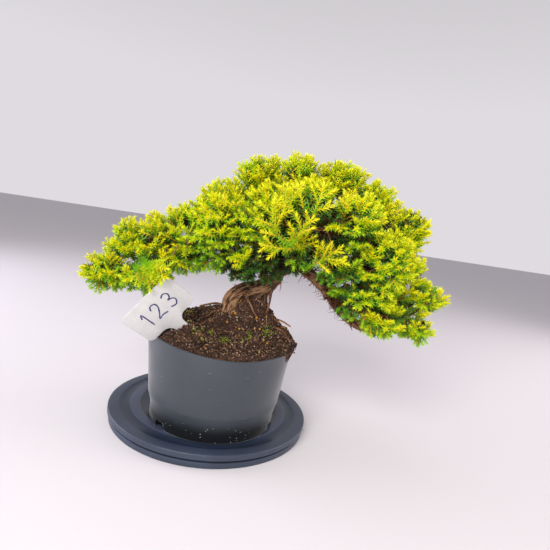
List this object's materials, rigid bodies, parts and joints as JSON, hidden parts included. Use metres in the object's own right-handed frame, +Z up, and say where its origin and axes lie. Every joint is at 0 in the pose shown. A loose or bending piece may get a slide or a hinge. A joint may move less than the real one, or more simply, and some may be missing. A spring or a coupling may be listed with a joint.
{
  "type": "potted juniper bonsai",
  "caption": "Cascading Japanese garden juniper bonsai in a round nursery pot with a plant label, on a two-plate turntable that swivels.",
  "frame": {"origin": "centre of the turntable's underside", "axes": "+X towards the cascading branch, +Y towards the back, +Z up"},
  "size_m": [0.3588, 0.2, 0.2795],
  "materials": {
    "plate_plastic": "satin moulded plastic",
    "glide_plastic": "smooth low-friction plastic",
    "pin_steel": "turned steel",
    "pot_plastic": "satin moulded plastic, dusty near the foot",
    "soil": "moist fibrous peat",
    "bark": "flaking fibrous bark",
    "label_plastic": "satin white plastic with felt-pen strokes",
    "needles": "waxy green needles"
  },
  "bodies": {
    "base": {"turntable_base": "plate_plastic", "glide_ring": "glide_plastic", "pivot_pin": "pin_steel"},
    "turntable": {"turntable_top": "plate_plastic", "pot": "pot_plastic", "soil": "soil", "juniper_wood": "bark", "plant_label": "label_plastic", "foliage_left_tip": "needles", "foliage_left_top": "needles", "foliage_left_low": "needles", "foliage_left_mid": "needles", "foliage_left_neck": "needles", "foliage_crown_1": "needles", "foliage_crown_2": "needles", "foliage_crown_3": "needles", "foliage_crown_4": "needles", "foliage_crown_5": "needles", "foliage_crown_6": "needles", "foliage_crown_7": "needles", "foliage_front_1": "needles", "foliage_front_2": "needles", "foliage_front_3": "needles", "foliage_front_4": "needles", "foliage_front_5": "needles", "foliage_front_6": "needles", "foliage_skirt": "needles", "foliage_fork": "needles", "foliage_back_1": "needles", "foliage_back_2": "needles", "foliage_back_3": "needles", "foliage_back_4": "needles", "foliage_back_5": "needles", "foliage_cascade_1": "needles", "foliage_cascade_2": "needles", "foliage_cascade_3": "needles", "foliage_cascade_4": "needles", "foliage_cascade_5": "needles"}
  },
  "joints": [
    {"name": "turntable_swivel", "type": "hinge", "parent": "base", "child": "turntable", "pos_m": [0, 0, 0.006], "axis": [0, 0, 1], "continuous": true}
  ]
}
